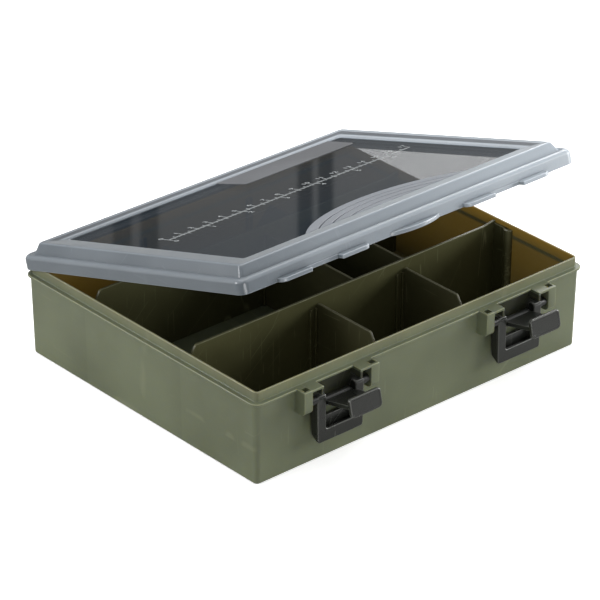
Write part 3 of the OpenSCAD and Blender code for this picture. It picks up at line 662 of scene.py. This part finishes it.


# The lid's section runs from the window's upper face out over the frame and the ledge, round the skirt and back
# underneath. The window's two faces close it. Each row holds inset, height, bend, corner seen from above, wear on the
# bend (partly painted edge highlight), and the painted highlight and painted shade lines that the far sides show.
def addLid():
    d = lid
    t, step, edge, crest = d["thick"], d["step"], d["windowIn"] - 0.3, d["crestIn"] + d["crestW"]
    fall = (d["crestZ"] - d["windowZ"] - step) / (edge - crest)
    rows = [(d["windowIn"], d["windowZ"], 0, 2.0, 0, 0, 0), (edge, d["windowZ"] + step, 0.1, 2.0, 0.5, 0, 0)]
    rows += [(inset, d["crestZ"] - fall * (inset - crest), 0, 2.0, 0, light, dark) for inset, light, dark in d["lines"]]
    rows += [
        (crest, d["crestZ"], 0.9, 1.5, 0.6, 0, 0), (d["crestIn"], d["crestZ"], 1.6, 1.8, 0.5, 0, 0),
        (d["frameIn"] + 0.3, d["ledgeZ"] - d["groove"], 0.15, 2.6, 0, 0, 0),
        (d["frameIn"] - 0.5, d["ledgeZ"] - d["groove"], 0.15, 2.8, 0, 0, 0),
        (d["frameIn"] - 0.9, d["ledgeZ"], 0.3, 3.0, 0.5, 0, 0),
        (d["skirtIn"], d["ledgeZ"], d["skirtR"], 5.2, 0.4, 0, 0), (d["skirtIn"], d["skirtZ"], 0.5, 5.0, 0.6, 0, 0),
        (d["skirtIn"] + t, d["skirtZ"], 0.5, 3.4, 0.4, 0, 0), (d["skirtIn"] + t, d["ledgeZ"] - t, 0.6, 3.4, 0, 0, 0),
        (d["frameIn"] + t, d["ledgeZ"] - t, 0.4, 2.4, 0, 0, 0), (d["crestIn"] + t, d["windowZ"] - t, 0.8, 2.0, 0, 0, 0),
        (d["windowIn"], d["windowZ"] - t, 0, 2.0, 0, 0, 0)]
    rows = np.array(rows)
    line, _, which, share = bentLine(rows[:, :2], rows[:, 2])
    # the corner seen from above runs evenly from one row to the next along the section
    along = np.concatenate([[0], np.cumsum(np.linalg.norm(np.diff(line, axis=0), axis=1))])
    known = np.concatenate([[0], np.cumsum(np.linalg.norm(np.diff(rows[:, :2], axis=0), axis=1))])
    corner = np.interp(along * known[-1] / along[-1], known, rows[:, 3])
    # on the far sides, the light lines are painted highlights carried with the wear, the dark lines painted shade
    # carried with the glow
    wornAndSheen = (rows[which, 4] * np.sin(np.pi * share))[:, None] + rows[which, 5, None] * farSides()
    dark = rows[which, 6, None] * farSides()
    ring = shell(carried(line, tub["halfW"], tub["halfD"], corner), wornAndSheen, dark, slots=(0, 1))
    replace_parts(lidPiece("lidShell", [ring], [frosted, smoked]), "lid")


arcs = {"radii": (76.0, 70.1, 64.2, 57.6, 51.75), "groove": 0.9, "reach": 24.3, "high": 0.5, "edge": 0.18}
pad = {"left": 6.0, "right": 88.0, "deep": 23.0, "slant": 3.0, "high": 0.5, "edge": 0.18}


# Concentric bands on the window's front. At share s of the way round, radius r reaches the angle s times
# acos(chord / r), so that every band ends on the window's front edge.
def addArcs():
    a = arcs
    windowY = tub["halfD"] - lid["windowIn"]
    centreY = -windowY + a["reach"] - a["radii"][0]
    chord = -windowY - centreY
    low, high = lid["windowZ"] - 0.1, lid["windowZ"] + a["high"]
    s = np.linspace(-1, 1, 73)[:, None]
    shells = []
    for i in range(len(a["radii"]) - 1):
        outer, inner = a["radii"][i] - (a["groove"] if i else 0), a["radii"][i + 1]
        box = [(inner, low), (outer, low), (outer, high), (inner, high)]
        section, _, _, share = bentLine(box, [0.02, 0.02, a["edge"], a["edge"]], True, 4)
        r, z = section.T[:, None]
        angle = s * np.arccos(np.clip(chord / r, -1, 1))
        grid = np.stack([r * np.sin(angle), centreY + r * np.cos(angle), np.broadcast_to(z, angle.shape)], 2)
        shells.append(shell(grid, np.broadcast_to(np.sin(np.pi * share), angle.shape)))
    lidPiece("arcStep", shells, [arcFrost])


def addPad():  # the bare raised field at the window's back right
    back = tub["halfD"] - lid["windowIn"]
    left, right, front, z = pad["left"], pad["right"], back - pad["deep"], lid["windowZ"]
    outline = [(left + pad["slant"], front), (right, front), (right, back), (left, back)]
    lidPiece("barePad", [plate(outline, [2.0, 2.0, 0.4, 0.4], z - 0.1, z + pad["high"], pad["edge"])], [padFrost])


def addCatches():  # two pairs of tabs with a strip between them, and the bowed finger lip in the middle
    d = lid
    skirtY, gap = tub["halfD"] - d["skirtIn"], d["tabGap"] / 2
    low, high, deep = d["skirtZ"], d["skirtZ"] + d["tabT"], d["sunk"] - skirtY
    shells = []
    for middle in (-leverX, leverX):
        for s in (-1, 1):
            x0, x1 = between(middle + s * gap, middle + s * (gap + d["tabW"]))
            tab = [(x0, -skirtY - d["tabOut"]), (x1, -skirtY - d["tabOut"]), (x1, deep), (x0, deep)]
            shells.append(plate(tab, [0.6, 4.0, 0.6, 0.6] if s > 0 else [4.0, 0.6, 0.6, 0.6], low, high, 0.45))
        x0, x1 = middle - gap - 1, middle + gap + 1
        strip = [(x0, -skirtY - d["stripOut"]), (x1, -skirtY - d["stripOut"]), (x1, deep), (x0, deep)]
        shells.append(plate(strip, 0.3, low, high, 0.3))
    # the lip's edge lies on a circle: y = bow - skirtY - tabOut - sqrt(bow^2 - x^2)
    half = d["lipW"] / 2
    x = np.linspace(-half, half, 25)
    bow = (half ** 2 + d["tabOut"] ** 2) / (2 * d["tabOut"])
    edge = np.stack([x, bow - skirtY - d["tabOut"] - np.sqrt(bow ** 2 - x ** 2)], 1).tolist()
    shells.append(plate(edge + [(half, deep), (-half, deep)], 0.45, low, high, 0.45, 4, 1))
    lidPiece("lidCatches", shells, [frosted])


def addLidKnuckles():
    h = hinges
    y, z = tub["halfD"] - lid["skirtIn"] - 0.9, lid["skirtZ"]
    lidPiece("lidKnuckles", [knuckle((h["lidFrom"], h["lidTo"]), (y, z), (y, z + h["strap"]), h["lidL"], s * h["x"])
                             for s in (-1, 1)], [frosted])


# lengths of the ticks: whole, half and smallest, with wide and thin their half widths
ruler = {"zeroX": -81.8, "y": 5.3, "lineW": 0.4, "high": 0.06, "cm": 17, "inches": 6, "cmTicks": (5.0, 3.4, 1.7),
         "inchTicks": (3.6, 2.6, 1.5), "wide": 0.17, "thin": 0.11, "digit": 4.8, "bold": 0.01, "gap": 0.7,
         "capShare": 0.73}


def addRuler():  # a line with centimetres on its back side and inches on its front side
    d = ruler
    low, high, zero = lid["windowZ"] - 0.02, lid["windowZ"] + d["high"], ruler["zeroX"]

    def bar(x0, x1, y0, y1):
        return plate([(x0, y0), (x1, y0), (x1, y1), (x0, y1)], 0.03, low, high, 0.02, 1, 1, wearAndSheen=0.0)

    def ticks(count, pitch, long, half, lengths, way):
        for k in range(count + 1):
            reach = lengths[0] if k % long == 0 else lengths[1] if k % half == 0 else lengths[2]
            w = d["wide"] if k % half == 0 else d["thin"]
            yield bar(zero + k * pitch - w, zero + k * pitch + w, *between(d["y"], d["y"] + way * reach))

    marks = [bar(zero, zero + 10 * d["cm"], d["y"] - d["lineW"] / 2, d["y"] + d["lineW"] / 2)]
    marks += ticks(10 * d["cm"], 1.0, 10, 5, d["cmTicks"], 1)
    marks += ticks(8 * d["inches"], 25.4 / 8, 8, 4, d["inchTicks"], -1)
    lidPiece("rulerLines", marks, [rulerMark])
    high = d["digit"] * d["capShare"]
    places = [(str(k), zero + 10 * k, d["y"] + d["cmTicks"][0] + d["gap"]) for k in range(d["cm"] + 1)]
    places += [(str(k), zero + 25.4 * k, d["y"] - d["inchTicks"][0] - d["gap"] - high) for k in range(d["inches"] + 1)]
    numbers = bmesh.new()
    for text, x, y in places:
        curve = bpy.data.curves.new("number", "FONT")
        curve.body, curve.size, curve.align_x = text, d["digit"] * mm, "CENTER"
        curve.extrude, curve.offset = 0.03 * mm, d["bold"] * mm
        obj = newObject("number", curve)
        bpy.context.view_layer.update()
        mesh = bpy.data.meshes.new_from_object(obj.evaluated_get(bpy.context.evaluated_depsgraph_get()))
        flat = np.empty(len(mesh.vertices) * 3)
        mesh.vertices.foreach_get("co", flat)
        flat = flat.reshape(-1, 3) / mm + np.array([x, y, lid["windowZ"] + 0.03])
        mesh.vertices.foreach_set("co", (opened(flat) * mm).ravel())
        numbers.from_mesh(mesh)
        bpy.data.objects.remove(obj)
        bpy.data.meshes.remove(mesh)
    bmesh.ops.remove_doubles(numbers, verts=numbers.verts, dist=1e-6)
    bmesh.ops.recalc_face_normals(numbers, faces=numbers.faces)
    mesh = bpy.data.meshes.new("rulerNumbers")
    numbers.to_mesh(mesh)
    numbers.free()
    mesh.materials.clear()
    mesh.materials.append(rulerMark)
    mesh.polygons.foreach_set("material_index", np.zeros(len(mesh.polygons), np.int32))
    obj = newObject("rulerNumbers", mesh)
    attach(obj, "lid_body")


addLid()
addArcs()
addPad()
addCatches()
addLidKnuckles()
addRuler()
print("lid made")

# measured from the pivots; low and high are heights above the lever's foot
lever = {"halfW": 15.3, "armW": 5.4, "long": 25.4, "finger": 7.2, "plate": 2.0, "face": 2.2, "knuckleR": 2.5,
         "back": 4.0, "taper": 0.4, "low": 3.5, "high": 8.0, "lean": -0.6, "collarR": 2.3, "stubR": 1.9,
         "collarX": 19.5, "stubX": 23.8, "edge": 0.7, "panelT": 1.6, "panelH": 5.0}
hook = {"barrelR": 2.4, "webW": 18.6, "webT": 2.4, "lipW": 21.0, "lipT": 2.4, "lipZ": 20.9, "in": 5.4, "out": 5.2}


# The front is one U-shaped plate, a cheek stands behind each arm, and a panel joins the cheeks low down. The cheeks
# lean out a little towards the top: x moves by lean times the share of the height times the share of the arm's width.
def leverShells():
    d = lever
    w, inner, foot = d["halfW"], d["halfW"] - d["armW"], -d["long"]
    top, sill = d["knuckleR"] - 0.2, d["finger"] - d["long"]
    front = [(-w, foot), (w, foot), (w - d["lean"], top), (inner, top), (inner, sill), (-inner, sill), (-inner, top),
             (d["lean"] - w, top)]
    rounds = [1.6, 1.6, 1.5, 1.2, 1.2, 1.2, 1.2, 1.5]
    shells = [alongY(plate(front, rounds, -d["face"], d["plate"] - d["face"], d["edge"]))]
    a = np.radians(np.linspace(-10, 190, 15))
    topArc = np.stack([d["knuckleR"] * np.cos(a), d["knuckleR"] * np.sin(a)], 1).tolist()
    side = topArc + [(0.2 - d["face"], foot + 0.3), (1.8 - d["face"], foot + 0.3),
                     (d["back"] - d["taper"], foot + d["low"]), (d["back"] - d["taper"] / 3, foot + d["high"]),
                     (d["back"], -7.6), (d["back"] - 0.3, -3.8)]
    for s in (-1, 1):
        cheek = alongX(plate(side, 0.9, *between(s * inner, s * (w - 0.25)), 0.8, 4, 2, wearAndSheen=0.6))
        x, z = cheek["grid"][..., 0], cheek["grid"][..., 2]
        x -= s * d["lean"] * np.clip((z - foot) / (top - foot), 0, 1) * (np.abs(x) - inner) / d["armW"]
        shells.append(cheek)
        shells.append(turned([(s * (inner + 1), d["collarR"]), (s * d["collarX"], d["collarR"]),
                              (s * d["collarX"], d["stubR"]), (s * d["stubX"], d["stubR"])]))
    x, z0, z1, y = inner + 0.6, foot + d["low"], sill + d["panelH"], d["back"] - d["taper"]
    shells.append(alongY(plate([(-x, z0), (x, z0), (x, z1), (-x, z1)], 0.4, y - d["panelT"], y, 0.35)))
    return shells


def hookShells():  # standing up, measured from the hook's pivot: barrel, web and the lip with its raised border
    d = hook
    w, t, half = d["webW"] / 2, d["webT"] / 2, d["lipW"] / 2
    r = d["barrelR"]
    barrel = turned([(-w, r - 0.4), (0.4 - w, r), (w - 0.4, r), (w, r - 0.4)])
    web = alongY(plate([(-w, 0), (w, 0), (w, d["lipZ"] + 1), (-w, d["lipZ"] + 1)], 0.4, -t, t, 0.4))
    lip = plate([(-half, -d["out"]), (half, -d["out"]), (half, d["in"]), (-half, d["in"])], [2.6, 2.6, 1.9, 1.9],
                d["lipZ"], d["lipZ"] + d["lipT"], 0.7, recess=(0.5, 0.25))
    return [barrel, web, lip]


def addLatches():
    for side, sign in (("left", -1), ("right", 1)):
        shells = [moved(s, lambda g: g + np.array([sign * leverX, leverY, leverZ])) for s in leverShells()]
        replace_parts(makeMesh(side + "Lever", shells, [satinBlack], f"lever_{side}_body"), "lever_" + side)
        place = np.array([sign * leverX, hookY, hookZ])
        shells = [moved(s, lambda g: spun(g, hookTurn, 0, 0) + place) for s in hookShells()]
        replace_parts(makeMesh(side + "Hook", shells, [satinBlack], f"hook_{side}_body"), "hook_" + side)


addLatches()
for name in ("hinge_pin_left", "hinge_pin_right", "hook_pin_left", "hook_pin_right"):
    pin = bpy.data.objects[name]
    pin.data.materials.clear()
    pin.data.materials.append(wire)
print("latches made")

view = {"azimuth": 41.339, "elevation": 28.302, "roll": -0.236, "distance": 1.9133, "target": (0, 0, 0.025),
        "lens": 213.3, "centreX": 304.535, "centreY": 306.989, "frame": 600, "sensor": 36, "sightEnd": 20}


def addCamera():
    az, el, roll = (math.radians(view[k]) for k in ("azimuth", "elevation", "roll"))
    back = np.array([-math.sin(az) * math.cos(el), -math.cos(az) * math.cos(el), math.sin(el)])
    right = np.array([math.cos(az), -math.sin(az), 0])
    up = np.cross(back, right)
    c, s = math.cos(roll), math.sin(roll)
    matrix = np.eye(4)
    place = view["target"] + back * view["distance"]
    matrix[:3] = np.column_stack([c * right - s * up, s * right + c * up, back, place])
    camera = newObject("camera", bpy.data.cameras.new("camera"))
    camera.matrix_world = Matrix(matrix.tolist())
    camera.data.lens, camera.data.sensor_width, camera.data.clip_end = view["lens"], view["sensor"], view["sightEnd"]
    camera.data.shift_x = 0.5 - view["centreX"] / view["frame"]
    camera.data.shift_y = view["centreY"] / view["frame"] - 0.5
    bpy.context.scene.camera = camera


# place, target and size in metres, power in watts
lights = {"overhead": ((0.1, 0.25, 1.2), (0, 0, 0), (1.4, 1.0), 8.0),
          "frontRight": ((1.25, -0.65, 0.35), (0, 0, 0.03), (0.8, 0.6), 20.0),
          "leftBack": ((-1.2, 0.7, 0.45), (0, 0, 0.03), (0.7, 0.6), 12.5),
          "backRight": ((0.55, 0.28, 0.42), (0.06, 0, 0.07), (0.35, 0.3), 1.5),
          "frontLeft": ((-0.35, -0.75, 0.12), (-0.05, 0, 0.03), (0.3, 0.2), 1.4)}
# brightness at the horizon to the left and right of the line that the window mirrors, and overhead; stands holds the
# (place, half width) of the dark stands that it mirrors, as offsets across that line, and tops is where they end
surroundings = {"left": 0.135, "right": 0.33, "spread": 0.07, "high": 0.6, "from": 0.02, "to": 0.5,
                "ahead": (0.583, 0.813), "tilt": 0.404, "soft": 0.0014, "dark": 0.88, "behind": 0.5,
                "tops": (0.15, 0.3),
                "stands": ((-0.0530, 0.0021), (-0.0447, 0.0020), (0.0025, 0.0016), (0.0087, 0.0016))}


def areaLight(name, place, target, size, power):
    data = bpy.data.lights.new(name, "AREA")
    data.shape = "RECTANGLE"
    data.size, data.size_y, data.energy = *size, power
    away = np.array(place, float) - np.array(target, float)
    away /= np.linalg.norm(away)
    side = np.cross((0, 0, 1), away)
    side /= np.linalg.norm(side)
    matrix = np.eye(4)
    matrix[:3] = np.column_stack([side, np.cross(away, side), away, place])
    newObject(name, data).matrix_world = Matrix(matrix.tolist())


# Low surroundings under a dome: their brightness is low + (high - low) * height. Seen directly, they are white.
def addSurroundings():
    d = surroundings
    world = bpy.data.worlds.new("studio")
    world.use_nodes = True
    bpy.context.scene.world = world
    tree = world.node_tree
    direction = add(tree, "ShaderNodeTexCoord").outputs["Generated"]
    x, y, z = add(tree, "ShaderNodeSeparateXYZ", {"Vector": direction}).outputs
    aheadX, aheadY = d["ahead"]
    across = calc(tree, "ADD", product(tree, x, aheadY), product(tree, y, -aheadX))
    across = calc(tree, "ADD", across, product(tree, z, d["tilt"]))
    low = ramp(tree, across, -d["spread"], d["spread"], d["left"], d["right"])
    height = ramp(tree, z, d["from"], d["to"])
    bright = calc(tree, "ADD", low, product(tree, height, calc(tree, "SUBTRACT", d["high"], low)))
    dark = None
    for place, half in d["stands"]:
        off = calc(tree, "ABSOLUTE", calc(tree, "SUBTRACT", across, place))
        stand = ramp(tree, off, half, half + d["soft"], 1.0, 0.0)
        dark = stand if dark is None else greatest(tree, dark, stand)
    dark = product(tree, dark, calc(tree, "GREATER_THAN", y, d["behind"]), ramp(tree, z, *d["tops"], d["dark"], 0.0))
    bright = product(tree, bright, calc(tree, "SUBTRACT", 1.0, dark))
    seen = add(tree, "ShaderNodeLightPath").outputs["Is Camera Ray"]
    bright = greatest(tree, bright, seen)
    background = tree.nodes["Background"]
    background.inputs["Color"].default_value = (1, 1, 1, 1)
    tree.links.new(bright, background.inputs["Strength"])


ground = {"half": 1.2, "z": -0.0001, "colors": ((0.93, 0.93, 0.93, 1), (0.95, 0.95, 0.95, 1)), "clouds": 2.0,
          "unseen": (0.42, 0.42, 0.41, 1),
          "plain": {"Emission Strength": 0.45, "Roughness": 0.9, "Specular IOR Level": 0.1}}


# The floor is white to the camera, with a little light of its own there, and grey to the object's underside.
def addFloor():
    half, z = ground["half"], ground["z"]
    floor, tree, surface = newMaterial("paleFloor")
    cloud = noise(tree, add(tree, "ShaderNodeTexCoord").outputs["Object"], ground["clouds"])
    seen = add(tree, "ShaderNodeLightPath").outputs["Is Camera Ray"]
    pale = tint(tree, cloud, *ground["colors"])
    tree.links.new(tint(tree, seen, ground["unseen"], pale), surface.inputs["Base Color"])
    tree.links.new(tint(tree, seen, (0, 0, 0, 1), (1, 1, 1, 1)), surface.inputs["Emission Color"])
    setPlain(surface, ground["plain"])
    mesh = bpy.data.meshes.new("floor")
    mesh.from_pydata([(-half, -half, z), (half, -half, z), (half, half, z), (-half, half, z)], [], [(0, 1, 2, 3)])
    mesh.materials.append(floor)
    newObject("floor", mesh)


addCamera()
addSurroundings()
addFloor()
for name, values in lights.items():
    areaLight(name, *values)
bpy.context.scene.view_settings.view_transform = "Standard"
print("studio made")
